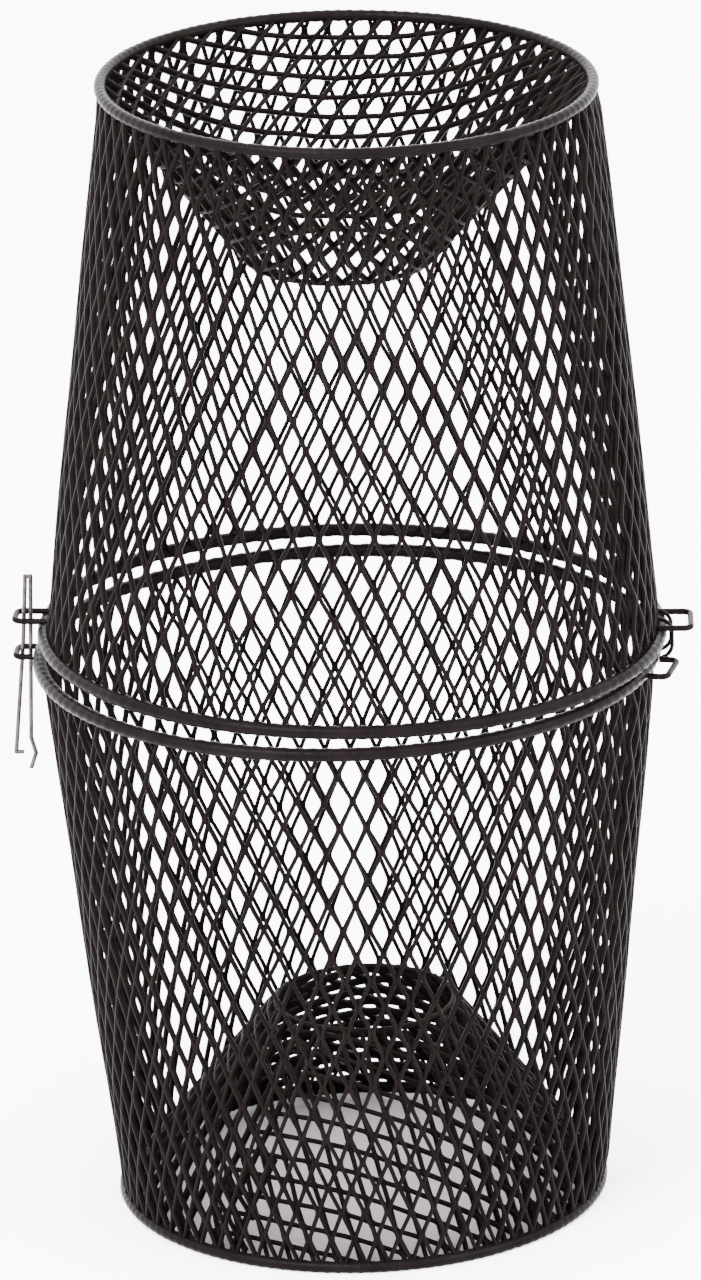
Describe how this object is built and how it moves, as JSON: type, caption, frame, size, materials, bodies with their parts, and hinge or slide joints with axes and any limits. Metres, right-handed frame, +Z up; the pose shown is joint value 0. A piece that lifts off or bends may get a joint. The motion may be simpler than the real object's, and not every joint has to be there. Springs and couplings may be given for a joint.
{
  "type": "wire mesh funnel trap",
  "caption": "Barrel-shaped mesh funnel trap in tapered halves that meet at a wide rim, with an inward funnel at each end, a wire-ring hinge at one side and a spring-wire clip at the other.",
  "frame": {"origin": "on the axis of the lower half, at the flat land under its end ring", "axes": "+Z up along the lower half's axis, +X towards the hinge, -X towards the latch clip, +Y to the back"},
  "size_m": [0.27, 0.2482, 0.4619],
  "materials": {
    "mesh_vinyl": "black vinyl dip on expanded steel mesh",
    "vinyl": "black vinyl dip, soft sheen",
    "hoop_steel": "plain drawn wire rod",
    "zinc_wire": "galvanised wire"
  },
  "bodies": {
    "lower_half": {"lower_wall": "mesh_vinyl", "lower_rim_hoop": "hoop_steel", "lower_rim_hem": "vinyl", "lower_mouth_hoop": "hoop_steel", "lower_mouth_hem": "vinyl", "lower_funnel": "mesh_vinyl", "lower_throat_hem": "vinyl", "lower_latch_eye": "vinyl", "lower_spare_eye": "vinyl", "hinge_ring_front": "vinyl", "hinge_ring_back": "vinyl"},
    "upper_half": {"upper_wall": "mesh_vinyl", "upper_rim_hoop": "hoop_steel", "upper_rim_hem": "vinyl", "upper_mouth_hoop": "hoop_steel", "upper_mouth_hem": "vinyl", "upper_funnel": "mesh_vinyl", "upper_throat_hem": "vinyl", "upper_latch_eye": "vinyl", "upper_spare_eye": "vinyl"},
    "clip_spine": {"clip_spine": "zinc_wire"},
    "clip_arm": {"clip_arm": "zinc_wire"}
  },
  "joints": [
    {"name": "halves_hinge", "type": "hinge", "parent": "lower_half", "child": "upper_half", "pos_m": [0.12338, 0, 0.2322], "axis": [0, 1, 0], "range_deg": [0, 70]},
    {"name": "clip_slide", "type": "slide", "parent": "lower_half", "child": "clip_spine", "axis": [0.0349, 0, 0.9994], "range_m": [0, 0.034]},
    {"name": "clip_flex", "type": "hinge", "parent": "clip_spine", "child": "clip_arm", "pos_m": [-0.12611, 0.0096, 0.25408], "axis": [0, 1, 0], "range_deg": [-3, 0], "stiffness_Nm_per_rad": 0.3}
  ],
  "couplings": [
    {"joint": "clip_flex", "follows": "clip_slide", "rad_per_m": -1.25}
  ]
}
